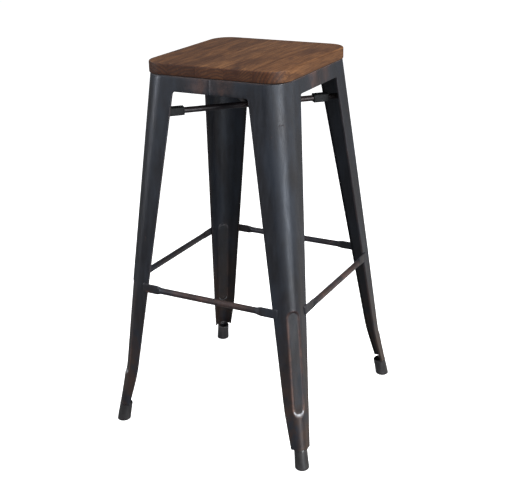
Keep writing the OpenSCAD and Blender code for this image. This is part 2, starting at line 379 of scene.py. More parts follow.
# distances from the ridge along the corner, then shares of the rest of its arc
ARC_INNER = (0, 2, 4, 5.8, 7.3, 8.6, 9.6, 10.5, 11.3, 12, 12.6, 13.1, 13.8)
ARC_OUTER = (0.2, 0.4, 0.6, 0.8, 1.0)
FACE_COLUMNS = 9
TONGUE_FACE_COLUMNS = 2
APRON_COLUMNS = 14
BEND_STEPS = 4


def arc_lengths(z):
    """Distances along the corner from its ridge to one end of the arc."""
    end = corner_r(z) * math.pi / 4
    outer_least = 0.8
    scale = min(1, (end - outer_least) / ARC_INNER[-1])
    inner = [s * scale for s in ARC_INNER]
    return inner + [inner[-1] + (end - inner[-1]) * t for t in ARC_OUTER]


def corner_point(z, s, roll):
    """A point of the corner's outside, s millimetres along it from the ridge towards +X's face."""
    r = corner_r(z)
    a = math.radians(-45) + s / r
    c = half_at(z) - r
    out = r - flute_depth(z, s) - roll
    return (c + out * math.cos(a), -c + out * math.sin(a))


def flute_painted_shade(z, s):
    """How far into the flute a point lies, from 0 on its edge to 1 on its floor; the lacquer paints shade
    and adds roughness by it.
    """
    return smoothstep(flute_inside(z, s) / FLUTE_WALL)


def low_end_share(z):
    """1 round the flute's lower end, fading to 0 up its sides."""
    fade_from = FLUTE_LOW + FLUTE_HALF_W + 3
    fade_l = 7
    return smoothstep((fade_from - z) / fade_l)


def flute_rub(z, s):
    """Wear along the flute's edge, less at its lower end, which carries a painted highlight."""
    strength = 0.3 - 0.22 * low_end_share(z)
    middle, width = 1.2, 2.6
    return strength * math.exp(-((flute_inside(z, s) - middle) / width) ** 2)


def flute_painted_glint(z, s):
    """A painted highlight on the ramp at the flute's lower end, drawn as glossy bright bare metal."""
    fade_from = FLUTE_LOW + FLUTE_HALF_W - 2
    fade_l = 9
    inner, narrow, spread = 1.4, 1.5, 1.9
    width = narrow + spread * smoothstep((fade_from - z) / fade_l)
    return low_end_share(z) * math.exp(-((flute_inside(z, s) - inner - width) / width) ** 2)


def ankle_rub(z):
    """Wear all round the leg, growing towards the floor."""
    strength, fade_from, fade_l = 0.06, 230, 150
    return strength * smoothstep((fade_from - z) / fade_l)


def seam_rub(x):
    """Wear on the apron, strongest a little to each side of the seam between two legs."""
    strength, middle, width = 0.24, 24, 20
    return strength * math.exp(-((abs(x) - middle) / width) ** 2)


def rolled_edge(roll):
    """Wear and a painted highlight on the sheet's rolled top edge, as (wear, painted shade and glint); the
    painted highlight is below 0.
    """
    share = min(1, roll / TOP_ROLL * 3)
    return (TOP_RUB * share, TOP_PAINTED_GLINT * share)


def sheet_row(z, start, roll=0.0):
    """One row across the sheet: front face from its start, round the corner, to the side face."""
    h = half_at(z)
    arc = arc_lengths(z)
    straight = h - corner_r(z)
    face = [start + (straight - start) * k / FACE_COLUMNS for k in range(FACE_COLUMNS)]
    top_rub, top_glint = rolled_edge(roll)
    scuff = ankle_rub(z) + top_rub
    row = [((x, -h + roll, z), scuff, top_glint) for x in face]
    for s in [-s for s in reversed(arc)] + arc[1:]:
        # Painted shade in the flute, less the painted highlights on its lower ramp and on the rolled top
        # edge.
        shade_and_glint = flute_painted_shade(z, s) - 2 * flute_painted_glint(z, s) + top_glint
        row.append(((*corner_point(z, s, roll), z), scuff + flute_rub(z, s), shade_and_glint))
    row += [((h - roll, -x, z), scuff, top_glint) for x in reversed(face)]
    return row


def add_grid(points, rub, shade_and_glint, faces, rows):
    """Adds rows of (point, wear) or (point, wear, painted shade and glint) to the sheet's lists."""
    first = len(points)
    for row in rows:
        for point, wear, *recess in row:
            points.append(point)
            rub.append(wear)
            shade_and_glint.append(recess[0] if recess else 0.0)
    faces.extend(grid_faces(len(rows), len(rows[0]), first))


def across(p):
    """Mirrors a point of the front face into the side face."""
    return (-p[1], -p[0], p[2])


def lip_row(x, z, direction):
    """The rounded free edge of the front face at one place, turned inwards through 90 degrees."""
    y = -half_at(z)
    row = []
    for k, a in enumerate(quarter(BEND_STEPS)):
        out, back = LIP_BEND * sind(a), LIP_BEND * (1 - cosd(a))
        place = (x + direction[0] * out, y + back, z + direction[1] * out)
        row.append((place, LIP_RUB * k / BEND_STEPS))
    edge = row[-1][0]
    row.append(((edge[0], y + LIP_D, edge[2]), LIP_RUB))
    return row


def tongue_row(z, blend):
    """The middle of the sheet curling into the foot, from the leg's own corner to half a tube."""
    whole = sheet_row(z, edge_at(z) + LIP_BEND)
    spare = FACE_COLUMNS - TONGUE_FACE_COLUMNS
    row = []
    centre = foot_axis(z)
    kept = [place for place, *_ in whole[spare:len(whole) - spare]]
    run = [0]
    for a, b in zip(kept, kept[1:]):
        run.append(run[-1] + math.dist(a, b))
    for wide, along in zip(kept, run):
        a = math.radians(-45) + (along - run[-1] / 2) / TONGUE_R
        x, y = centre + TONGUE_R * math.cos(a), -centre + TONGUE_R * math.sin(a)
        place = (wide[0] + (x - wide[0]) * blend, wide[1] + (y - wide[1]) * blend, z)
        row.append((place, JOGGLE_RUB * math.sin(math.pi * blend)))
    return row


def tongue_rows():
    """Rows from the toe, down the joggle and along the narrow end inside the foot."""
    steps = 8
    drop = JOGGLE_HIGH - JOGGLE_LOW
    narrow_from, narrow_step = 32, 6
    places = [(TOE_Z, 0.0)]
    places += [(JOGGLE_HIGH - drop * k / steps, smoothstep(k / steps)) for k in range(steps + 1)]
    places += [(z, 1.0) for z in (*range(narrow_from, FOOT_SOLE + 1, -narrow_step), FOOT_SOLE + 0.5)]
    return [tongue_row(z, blend) for z, blend in places]


def apron_heights():
    """(height, how far the face has rolled inwards) up the apron and over its top edge."""
    heights = [(z, 0.0) for z in spaced(SHEET_END, FRAME_Z - TOP_ROLL, 6)]
    heights += [(FRAME_Z - TOP_ROLL * (1 - sind(a)), TOP_ROLL * (1 - cosd(a))) for a in quarter(5)]
    return heights


def half_apron_row(z, roll, columns):
    """One row of the front half-apron, from the seam to the window's corner."""
    y = -half_at(z) + roll
    top_rub, top_glint = rolled_edge(roll)
    return [((x, y, z), seam_rub(x) + top_rub, top_glint) for x in columns]


def leg_mesh():
    """Outside surface of one pressed leg with its two half-aprons, at the front right corner.

    The half-aprons reach past the seam by the sheet's bevel, so that two legs meet flush.
    """
    points, rub, shade_and_glint, faces = [], [], [], []
    heights = leg_heights()
    rows = [sheet_row(z, edge_at(z) + LIP_BEND) for z in heights]
    lips = [lip_row(edge_at(z) + LIP_BEND, z, (-1, 0)) for z in heights]
    reach = WINDOW_R + LIP_BEND
    for a in quarter(8):
        x, z = FILLET_X + reach * cosd(a), FILLET_Z + reach * sind(a)
        rows.append(sheet_row(z, x))
        lips.append(lip_row(x, z, (-cosd(a), -sind(a))))
    apron = apron_heights()
    rows += [sheet_row(z, FILLET_X, roll) for z, roll in apron[1:]]
    add_grid(points, rub, shade_and_glint, faces, rows)
    columns = [-SHEET_BEVEL] + [FILLET_X * k / APRON_COLUMNS for k in range(1, APRON_COLUMNS + 1)]
    half_apron = [half_apron_row(z, roll, columns) for z, roll in apron]
    lips += [lip_row(x, SHEET_END, (0, -1)) for x in reversed(columns[:-1])]
    for strip in (half_apron, lips):
        add_grid(points, rub, shade_and_glint, faces, strip)
        add_grid(points, rub, shade_and_glint, faces, [[(across(p), *marks) for p, *marks in row] for row in strip])
    add_grid(points, rub, shade_and_glint, faces, tongue_rows())
    return points, rub, shade_and_glint, faces


def thicken(piece, thickness, bevel, inside):
    """Gives the sheet its thickness inwards; its inside takes a material of its own."""
    piece.data.materials.append(inside)
    solid = piece.modifiers.new("sheet", "SOLIDIFY")
    solid.material_offset = 1
    solid.thickness = thickness * MM
    solid.offset = -1
    solid.use_even_offset = True
    edge = piece.modifiers.new("edges", "BEVEL")
    edge.width = bevel * MM
    edge.segments = 2
    edge.limit_method = "ANGLE"
    edge.angle_limit = math.radians(50)
    edge.use_clamp_overlap = True


def face_outwards(piece, sx, sy):
    """Turns the sheet's faces so that the corner's outside is the front of the sheet."""
    away = Vector((sx, sy, 0))
    above = 500 * MM
    top = [f for f in piece.data.polygons if f.center.z > above]
    if sum(f.normal.dot(away) * f.area for f in top) < 0:
        piece.data.flip_normals()


def make_legs(material, inside):
    points, rub, shade_and_glint, faces = leg_mesh()
    for name, (sx, sy) in CORNERS.items():
        leg = mesh_piece("leg_sheet_" + name, mirrored(points, sx, sy), faces, material,
                         angle=40, rub=rub, shade_and_glint=shade_and_glint)
        face_outwards(leg, sx, sy)
        thicken(leg, SHEET_T, SHEET_BEVEL, inside)
        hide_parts("leg_" + name)


# ---- rails ----
RING = 40
ROUND = 2.0
SQUARE = 3.6
RAIL_WEAR = {"front": 0.26, "right": 0.26, "rear": 0.06, "left": 0.06}
RAIL_WEAR_BASE = 0.02
RAIL_WEAR_L = 110


def blob_ring(half, thick, power):
    """A closed ring in the (across, up) plane: an ellipse at power 2, squarer above."""
    ring = []
    for k in range(RING):
        c, s = math.cos(2 * math.pi * k / RING), math.sin(2 * math.pi * k / RING)
        across_it = math.copysign(abs(c) ** (2 / power), c) * thick
        up = math.copysign(abs(s) ** (2 / power), s) * half
        ring.append((across_it, up))
    return ring


def rail_sections():
    """(place along X, half height, half thickness, squareness) from the middle to one end."""
    edge = edge_at(RAIL_Z)
    flat_from = edge - RAIL_FLAT_L
    round_to = flat_from - RAIL_SWELL_L
    tip = edge + RAIL_OVERLAP
    sections = [(x, RAIL_R, RAIL_R, ROUND) for x in spaced(0, round_to, 12)]
    steps = 10
    for k in range(steps + 1):
        t = smoothstep(k / steps)
        half = RAIL_R + (FLAT_HALF - RAIL_R) * t
        thick = RAIL_R + (FLAT_T / 2 - RAIL_R) * smoothstep(k / (steps - 1))
        sections.append((round_to + RAIL_SWELL_L * k / steps, half, thick, ROUND + (SQUARE - ROUND) * t))
    thick, thinner = FLAT_T / 2, 0.25
    sections += [(x, FLAT_HALF, thick, SQUARE) for x in spaced(flat_from + 3, tip - RAIL_CORNER, 5)]
    for a in quarter(5):
        x = tip - RAIL_CORNER * (1 - sind(a))
        sections.append((x, FLAT_HALF - RAIL_CORNER * (1 - cosd(a)), thick - thinner * sind(a), SQUARE))
    return sections


def rail_mesh():
    """The front rail: a round tube with pressed flat ends that lie on the legs' leaning faces."""
    lean = math.atan(LEG_SLOPE)
    y0 = -half_at(RAIL_Z) - (FLAT_T / 2) / math.cos(lean)
    half = rail_sections()
    whole = [(-x, *rest) for x, *rest in reversed(half[1:])] + half
    points = []
    for x, up, thick, power in whole:
        for across_it, height in blob_ring(up, thick, power):
            y = across_it * math.cos(lean) + height * math.sin(lean)
            z = height * math.cos(lean) - across_it * math.sin(lean)
            points.append((x, y0 + y, RAIL_Z + z))
    faces = grid_faces(len(whole), RING, closed=True)
    faces.append(tuple(range(RING)))
    faces.append(tuple(len(points) - 1 - k for k in range(RING)))
    return points, faces


def turned(points, quarter_turns):
    """Turns points of the front side to another side of the stool."""
    c, s = cosd(90 * quarter_turns), sind(90 * quarter_turns)
    return [(x * c - y * s, x * s + y * c, z) for x, y, z in points]


def make_rails(material):
    points, faces = rail_mesh()
    for turns, (name, wear) in enumerate(RAIL_WEAR.items()):
        rub = [RAIL_WEAR_BASE + wear * max(0, 1 - (p[0] / RAIL_WEAR_L) ** 2) for p in points]
        rail = mesh_piece("rail_tube_" + name, turned(points, turns), faces, material,
                          angle=50, rub=rub)
        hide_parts("rail_" + name)


# ---- braces, bumpers and welds ----
def rod_points(start, end, angle, radius, z):
    """A rod along a level line through the stool's centre, with its ends rounded over."""
    soft, half_along, half_in = 0.8, 0.25, 0.3
    rim = [(0, radius - soft), (half_along, radius - half_in), (soft, radius)]
    stations = [(start + along, r) for along, r in rim]
    stations += [(x, radius) for x in spaced(start + soft, end - soft, 30)[1:]]
    stations += [(end - along, r) for along, r in reversed(rim)]
    c, s = cosd(angle), sind(angle)
    points = []
    for x, r in stations:
        for k in range(RING):
            a = 2 * math.pi * k / RING
            side, up = r * math.cos(a), r * math.sin(a)
            points.append((x * c - side * s, x * s + side * c, z + up))
    faces = grid_faces(len(stations), RING, closed=True)
    faces.append(tuple(range(RING)))
    faces.append(tuple(len(points) - 1 - k for k in range(RING)))
    return points, faces


def brace_reach(gap):
    """From the stool's centre along a diagonal to just short of the inside of a leg's corner."""
    r = corner_r(BRACE_Z)
    return (half_at(BRACE_Z) - r) * math.sqrt(2) + r - SHEET_T - gap


def make_braces(material):
    reach = brace_reach(0.1)
    inner = BRACE_R - 1
    rods = (("long", -reach, 45), ("short_front", inner, -45), ("short_rear", inner, 135))
    for name, start, angle in rods:
        points, faces = rod_points(start, reach, angle, BRACE_R, BRACE_Z)
        rod = mesh_piece("brace_rod_" + name, points, faces, material,
                         angle=60, rub=[0.12] * len(points))
        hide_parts("brace_" + name)


def rounded_rectangle(half_w, half_h, r, steps=6):
    ring = []
    for cx, cy, a0 in ((1, 1, 0), (-1, 1, 90), (-1, -1, 180), (1, -1, 270)):
        for k in range(steps + 1):
            a = a0 + 90 * k / steps
            ring.append((cx * (half_w - r) + r * cosd(a), cy * (half_h - r) + r * sind(a)))
    return ring


def bumper_stations():
    """(place along the rod, how far the outline is drawn in) from the inner end to the outer end."""
    end = BUMPER_S + BUMPER_L
    face, soft, slope = 2.4, 1.0, 0.3
    groove_from, groove_to, groove_d = 2.2, 3.6, 0.45
    rim = [(0, face), (0, soft), (slope, slope), (soft, 0)]
    groove = [(groove_from, 0), (groove_from + slope, groove_d)]
    groove += [(groove_to - slope, groove_d), (groove_to, 0)]
    stations = [(BUMPER_S + along, inset) for along, inset in rim + groove]
    return stations + [(end - along, inset) for along, inset in [(groove_to, 0)] + rim[::-1]]


def bumper_rings():
    """(place along the rod, ring of (side, up)): the bore's mouth, the block and the bore's far mouth."""
    half_w, half_h = BUMPER_W / 2, BUMPER_H / 2
    bore = []
    for side, up in rounded_rectangle(half_w, half_h, BUMPER_CORNER_R):
        scale = (BRACE_R + BORE_GAP) / math.hypot(side, up)
        bore.append((side * scale, up * scale))
    rings = [(BUMPER_S + BORE_SINK, bore)]
    for x, inset in bumper_stations():
        rings.append((x, rounded_rectangle(half_w - inset, half_h - inset, BUMPER_CORNER_R)))
    return rings + [(BUMPER_S + BUMPER_L - BORE_SINK, bore)]


def bumper_mesh(sx, sy):
    """A moulded block around its rod: soft edges, a groove near its inner end and a bore."""
    angle = math.degrees(math.atan2(sy, sx))
    c, s = cosd(angle), sind(angle)
    rings = bumper_rings()
    points = [(x * c - side * s, x * s + side * c, BRACE_Z + up) for x, ring in rings for side, up in ring]
    return points, grid_faces(len(rings), len(rings[0][1]), closed=True)


def make_bumpers(material):
    for name, (sx, sy) in CORNERS.items():
        points, faces = bumper_mesh(sx, sy)
        block = mesh_piece("bumper_block_" + name, points, faces, material, angle=40)
        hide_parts("bumper_" + name)


def bead(name, path, radius, material, rub):
    """A weld bead: a small tube along a path, with ripples and closed ends."""
    points = []
    around = 10
    ripple_size, ripple_rate = 0.12, 2.1
    end_least, end_power = 0.05, 6
    shortest = 0.1
    last = len(path) - 1
    for j, p in enumerate(path):
        ahead = Vector(path[min(last, j + 1)]) - Vector(path[max(0, j - 1)])
        along = ahead.normalized()
        side = along.cross(Vector((0, 0, 1)))
        if side.length <= shortest:
            side = along.cross(Vector((1, 0, 0)))
        side = side.normalized()
        up = side.cross(along)
        ripple = 1 + ripple_size * math.sin(j * ripple_rate)
        r = radius * ripple * math.sqrt(max(end_least, 1 - (2 * j / last - 1) ** end_power))
        for k in range(around):
            a = 2 * math.pi * k / around
            points.append(tuple(Vector(p) + side * r * math.cos(a) + up * r * math.sin(a)))
    faces = grid_faces(len(path), around, closed=True)
    faces.append(tuple(range(around)))
    faces.append(tuple(len(points) - 1 - k for k in range(around)))
    return mesh_piece(name, points, faces, material, angle=70,
                      rub=[rub] * len(points), weld=0.001)


def make_welds(material):
    """Beads where the short rods meet the long one and where each rod meets its leg."""
    ring = [(BRACE_R * cosd(a), BRACE_R * sind(a)) for a in range(-180, 181, 12)]
    lift = 0.3
    for name, angle in (("front", -45), ("rear", 135)):
        c, s = cosd(angle), sind(angle)
        path = []
        for side, up in ring:
            x = math.sqrt(max(0, BRACE_R ** 2 - up ** 2)) + lift
            path.append((x * c - side * s, x * s + side * c, BRACE_Z + up))
        bead("brace_weld_" + name, path, 1.3, material, 0.35)
    reach = brace_reach(0.4)
    for name, (sx, sy) in CORNERS.items():
        angle = math.degrees(math.atan2(sy, sx))
        c, s = cosd(angle), sind(angle)
        path = [(reach * c - side * s, reach * s + side * c, BRACE_Z + up) for side, up in ring]
        bead("leg_weld_" + name, path, 1.2, material, 0.1)


def make_rail_welds(material):
    """A fillet of weld round each flattened rail end, on the leg's face."""
    lean = math.atan(LEG_SLOPE)
    edge = edge_at(RAIL_Z)
    tip = edge + RAIL_OVERLAP
    lift = 0.2
    y0 = -half_at(RAIL_Z)
    outline = [(edge + 2 + k, FLAT_HALF) for k in range(5)]
    for a in quarter(5):
        outline.append((tip - RAIL_CORNER * (1 - sind(a)), FLAT_HALF - RAIL_CORNER * (1 - cosd(a))))
    outline += [(x, -up) for x, up in reversed(outline)]
    for turns, name in enumerate(RAIL_WEAR):
        for label, side in (("a", -1), ("b", 1)):
            path = []
            for x, up in outline:
                y = y0 + up * math.sin(lean) - lift
                path.append((x * side, y, RAIL_Z + up * math.cos(lean)))
            bead("rail_weld_{}_{}".format(name, label), turned(path, turns), 0.75, material, 0.0)


# ---- feet ----
def foot_profile():
    """(height along the axis, radius): across the sole, up the outside, over the rim, down the socket."""
    soft, sole_in, rim, waist = 2.6, 3, 1.2, 0.25
    top = FOOT_H * math.sqrt(1 + FOOT_LEAN * FOOT_LEAN) * 0.995
    profile = [(0.0, FOOT_R_LOW - soft - sole_in)]
    profile += [(soft * (1 - cosd(a)), FOOT_R_LOW - soft + soft * sind(a)) for a in quarter(6)]
    for t in (0.12, 0.3, 0.5, 0.7, 0.85):
        h = soft + (top - rim - soft) * t
        taper = (FOOT_R_TOP - FOOT_R_LOW) * (h / top)
        profile.append((h, FOOT_R_LOW + taper - waist * math.sin(math.pi * t)))
    profile += [(top - rim + rim * sind(a), FOOT_R_TOP - rim + rim * cosd(a)) for a in quarter(4)]
    profile += [(top - rim + rim * cosd(a), SOCKET_R + rim * 0.6 * (1 - sind(a))) for a in quarter(3)]
    socket_soft = 1.5
    profile += [(h, SOCKET_R) for h in (30.0, 20.0, FOOT_SOLE + socket_soft)]
    return profile + [(FOOT_SOLE, SOCKET_R - socket_soft)]


def foot_mesh():
    """A rubber boot on the leg's leaning axis, standing flat, with its socket open at the top."""
    out = Vector((1, -1, 0)).normalized()
    side = Vector((1, 1, 0)).normalized()
    axis = (Vector((0, 0, 1)) - out * FOOT_LEAN).normalized()
    tilted = (out - axis * out.dot(axis)).normalized()
    level_to, level_fade = 2, 12
    around = 64
    profile = foot_profile()
    points = []
    for h, r in profile:
        level = 1 - smoothstep((h - level_to) / level_fade)
        centre = Vector((FOOT_C, -FOOT_C, h)) - out * FOOT_LEAN * h
        across_axis = (out * level + tilted * (1 - level)).normalized()
        for k in range(around):
            a = 2 * math.pi * k / around
            points.append(tuple(centre + across_axis * r * math.cos(a) + side * r * math.sin(a)))
    faces = grid_faces(len(profile), around, closed=True)
    faces.append(tuple(reversed(range(around))))
    last = (len(profile) - 1) * around
    faces.append(tuple(last + k for k in range(around)))
    return points, faces


def make_feet(material):
    points, faces = foot_mesh()
    rim_h, rim_fade = 3, 2
    rub = [smoothstep((p[2] - FOOT_H + rim_h) / rim_fade) for p in points]
    for name, (sx, sy) in CORNERS.items():
        boot = mesh_piece("foot_boot_" + name, mirrored(points, sx, sy), faces, material,
                          angle=50, rub=rub)
        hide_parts("foot_" + name)


# ---- seat ----
def plank_outline(x0, x1, inset, joint):
    """The outline of one board: the seat's rounded square cut at the board's two joints."""
    half, r = SEAT_HALF - inset, SEAT_R - inset
    left_end = x0 <= -SEAT_HALF + 1
    right_end = x1 >= SEAT_HALF - 1
    low = -half + r if left_end else x0 + joint
    high = half - r if right_end else x1 - joint
    columns = 8
    front = [(low + (high - low) * k / columns, -half) for k in range(columns + 1)]
    corner = [(half - r + r * sind(a), -half + r * (1 - cosd(a))) for a in quarter(14)[1:]]
    if right_end:
        front += corner
    if left_end:
        front = [(-x, y) for x, y in reversed(corner)] + front
    return front + [(x, -y) for x, y in reversed(front)]


def plank_levels():
    """(height, how far the outline is drawn in, half of the joint's gap) up one board."""
    low_r, joint, flat = 2.2, 0.12, 8
    opening, opening_h = 0.35, 0.5
    lower = reversed(quarter(3))
    levels = [(FRAME_Z + low_r * (1 - sind(a)), low_r * (1 - cosd(a)), joint) for a in lower]
    levels += [(z, 0.0, joint) for z in (FRAME_Z + flat, TOTAL_H - flat)]
    for a in quarter(6):
        z = TOTAL_H - SEAT_EDGE_R * (1 - sind(a))
        gap = joint + opening * max(0, (z - TOTAL_H + opening_h) / opening_h)
        levels.append((z, SEAT_EDGE_R * (1 - cosd(a)), gap))
    return levels


def plank_mesh(index):
    """One board of the seat, with eased edges and a shallow groove over each joint."""
    width = 2 * SEAT_HALF / PLANKS
    x0 = -SEAT_HALF + index * width
    x1 = x0 + width
    levels = plank_levels()
    points = []
    for z, inset, gap in levels:
        ring = plank_outline(x0, x1, inset, gap)
        points += [(x, y, z) for x, y in ring]
    n = len(ring)
    faces = grid_faces(len(levels), n, closed=True)
    faces.append(tuple(reversed(range(n))))
    last = (len(levels) - 1) * n
    faces.append(tuple(last + k for k in range(n)))
    return points, faces


# ---- materials ----
WOOD_DARK = linear((58, 33, 21))
WOOD_MID = linear((95, 62, 38))
WOOD_LIGHT = linear((126, 87, 56))
WOOD_END = linear((60, 25, 11))
WOOD_KNOT = linear((48, 28, 20))
# painted shadow along the boards' lower edge, where they sit on the frame
WOOD_PAINTED_SHADE = linear((34, 20, 16))
KNOT_AT = (0.056, -0.146, 0.757)


def swing(tree, value, size):
    """Turns noise about 0.5 into a distance about 0, in metres."""
    return maths(tree, "MULTIPLY", maths(tree, "SUBTRACT", value, 0.5), size)


def knot_distance(tree, coords):
    """Distance from the one knot, which is drawn out along the grain."""
    to_knot = node(tree, "ShaderNodeVectorMath", {0: coords, 1: KNOT_AT}, operation="SUBTRACT").outputs[0]
    squashed = node(tree, "ShaderNodeVectorMath", {0: to_knot, 1: (1, 0.5, 1)}, operation="MULTIPLY")
    return node(tree, "ShaderNodeVectorMath", {0: squashed.outputs[0]}, operation="LENGTH").outputs[1]


def late_wood(tree, coords, near, pith, spacing, seed):
    """The dark part of each year's ring about a pith line along Y, bent by wander and by the knot."""
    wander = swing(tree, noise(tree, coords, (1, 0.32, 1), 9.0, 2.0, 0.5, (seed, seed, 0)), 0.030)
    ripple = swing(tree, noise(tree, coords, (1, 0.12, 1), 60.0, 2.0, 0.5, (seed, 0, seed)), 0.004)
    swirl = maths(tree, "MULTIPLY", smooth_range(tree, near, 0.0, 0.030, 1.0, 0.0), 0.012)
    apart = node(tree, "ShaderNodeSeparateXYZ", {0: coords})
    x = maths(tree, "SUBTRACT", apart.outputs[0], pith[0])
    z = maths(tree, "SUBTRACT", apart.outputs[2], pith[1])
    squares = maths(tree, "ADD", maths(tree, "POWER", x, 2.0), maths(tree, "POWER", z, 2.0))
    radius = maths(tree, "ADD", maths(tree, "SQRT", squares), wander)
    radius = maths(tree, "ADD", radius, maths(tree, "ADD", ripple, swirl))
    rings = maths(tree, "FRACT", maths(tree, "DIVIDE", radius, spacing))
    late = smooth_range(tree, rings, 0.25, 0.95)
    return maths(tree, "MULTIPLY", late, smooth_range(tree, rings, 1.0, 0.95))


def wood_face(tree, coords, fibres, near, seed):
    """The boards' colour before their rings: light and dark streaks, clouds, flames and the knot."""
    streaks = noise(tree, coords, (1, 0.08, 1), 210.0, 4.0, 0.75, (seed, 1, 2))
    clouds = noise(tree, coords, (1, 0.35, 1), 16.0, 3.0, 0.5, (seed, 4, 0))
    flame = noise(tree, coords, (1, 0.24, 1), 75.0, 4.0, 0.75, (seed, 9, 3))
    colour = mix(tree, smooth_range(tree, streaks, 0.40, 0.62), WOOD_MID, WOOD_LIGHT)
    colour = mix(tree, smooth_range(tree, clouds, 0.46, 0.68, 0.0, 0.7), colour, WOOD_DARK)
    colour = mix(tree, smooth_range(tree, flame, 0.52, 0.68, 0.0, 0.65), colour, WOOD_DARK)
    colour = mix(tree, smooth_range(tree, fibres, 0.35, 0.7, 0.0, 0.5), colour, WOOD_DARK)
    return mix(tree, smooth_range(tree, near, 0.003, 0.014, 0.85, 0.0), colour, WOOD_KNOT)


def wood_material(name, pith, spacing, tone, seed):
    """Solid wood: rings about a pith line along Y, wandering grain, fibres, darker end grain and a painted
    shadow on the lower edge.
    """
    material, tree, shader, coords = new_material(name)
    near = knot_distance(tree, coords)
    late = late_wood(tree, coords, near, pith, spacing, seed)
    fibres = noise(tree, coords, (1, 0.02, 1), 900.0, 2.0, 0.6, (0, seed, 0))
    colour = wood_face(tree, coords, fibres, near, seed)
    normal = node(tree, "ShaderNodeNewGeometry").outputs["Normal"]
    end = maths(tree, "ABSOLUTE", node(tree, "ShaderNodeSeparateXYZ", {0: normal}).outputs[1])
    end = smooth_range(tree, end, 0.35, 0.9)
    colour = mix(tree, maths(tree, "MULTIPLY", end, 0.6), colour, WOOD_END)
    rings_seen = smooth_range(tree, end, 0.0, 1.0, 0.5, 1.0)
    colour = mix(tree, maths(tree, "MULTIPLY", late, rings_seen), colour, WOOD_DARK)
    height = node(tree, "ShaderNodeSeparateXYZ", {0: coords}).outputs[2]
    # Painted shadow: the boards darken over their lowest few millimetres, above the frame's top edge.
    painted_shade = smooth_range(tree, height, (FRAME_Z + 2.4) * MM, (FRAME_Z + 0.4) * MM, 0.0, 0.8)
    colour = mix(tree, painted_shade, colour, WOOD_PAINTED_SHADE)
    colour = mix(tree, 1.0, colour, (*tone, 1.0), "MULTIPLY")
    tree.links.new(colour, shader.inputs["Base Color"])
    tree.links.new(smooth_range(tree, fibres, 0.3, 0.8, 0.5, 0.68), shader.inputs["Roughness"])
    raised = maths(tree, "MULTIPLY", fibres, 0.5)
    sunk = maths(tree, "MULTIPLY", late, 0.5)
    bump(tree, shader, maths(tree, "SUBTRACT", raised, sunk), 0.00035, 0.5)
    shader.inputs["Specular IOR Level"].default_value = 0.28
    return material


# each board's pith line (x, z) and ring spacing, in metres, and its tone
BOARDS = (
    ((-0.15, 0.66), 0.0062, (0.70, 0.67, 0.60)),
    ((-0.04, 0.655), 0.0058, (0.70, 0.67, 0.59)),
    ((0.02, 0.665), 0.0066, (0.90, 0.91, 0.84)),
    ((0.12, 0.65), 0.0062, (0.82, 0.80, 0.70)),
    ((0.24, 0.695), 0.0075, (0.80, 0.77, 0.68)),
)


def make_planks():
    for index, (pith, spacing, tone) in enumerate(BOARDS):
        number = index + 1
        seed = 1.7 * index + 0.4
        wood = wood_material("seat_wood_{}".format(number), pith, spacing, tone, seed)
        points, faces = plank_mesh(index)
        board = mesh_piece("seat_board_{}".format(number), points, faces, wood, angle=32)
        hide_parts("seat_plank_{}".format(number))


STEEL_DARK = linear((31, 31, 35))
STEEL_BLUE = linear((39, 43, 51))
STEEL_WARM = linear((52, 41, 36))
# painted shade on the flute's floor
STEEL_PAINTED_SHADE = linear((18, 18, 20))
# the colour of the painted highlights, drawn as bare metal
STEEL_PAINTED_GLINT = linear((150, 150, 153))
COPPER = linear((128, 92, 78))


def lacquer_paint(tree, coords, cloud, streak, blotch):
    """The unworn lacquer: blue and grey clouds, browner towards the floor."""
    colour = mix(tree, smooth_range(tree, cloud, 0.38, 0.68), STEEL_DARK, STEEL_BLUE)
    colour = mix(tree, smooth_range(tree, streak, 0.5, 0.75, 0.0, 0.5), colour, STEEL_BLUE)
    height = node(tree, "ShaderNodeSeparateXYZ", {0: coords}).outputs[2]
    low = smooth_range(tree, height, 0.40, 0.05, 0.0, 0.95)
    brown = maths(tree, "MULTIPLY", low, smooth_range(tree, blotch, 0.3, 0.6))
    return mix(tree, brown, colour, STEEL_WARM)


def lacquer_wear(tree, fleck, blotch, wear):
    """How far the lacquer is rubbed through: the rub attribute, broken up, and a few stray patches."""
    rub = node(tree, "ShaderNodeAttribute", attribute_name="rub").outputs["Fac"]
    grains = maths(tree, "ADD", blotch, maths(tree, "MULTIPLY", fleck, 0.35))
    broken = smooth_range(tree, grains, 0.52, 0.86)
    edge = maths(tree, "MULTIPLY", rub, maths(tree, "ADD", broken, 0.25), clamp=True)
    patch = smooth_range(tree, blotch, 0.66, 0.76, 0.0, 0.35)
    return maths(tree, "MULTIPLY", maths(tree, "ADD", edge, patch, clamp=True), wear)


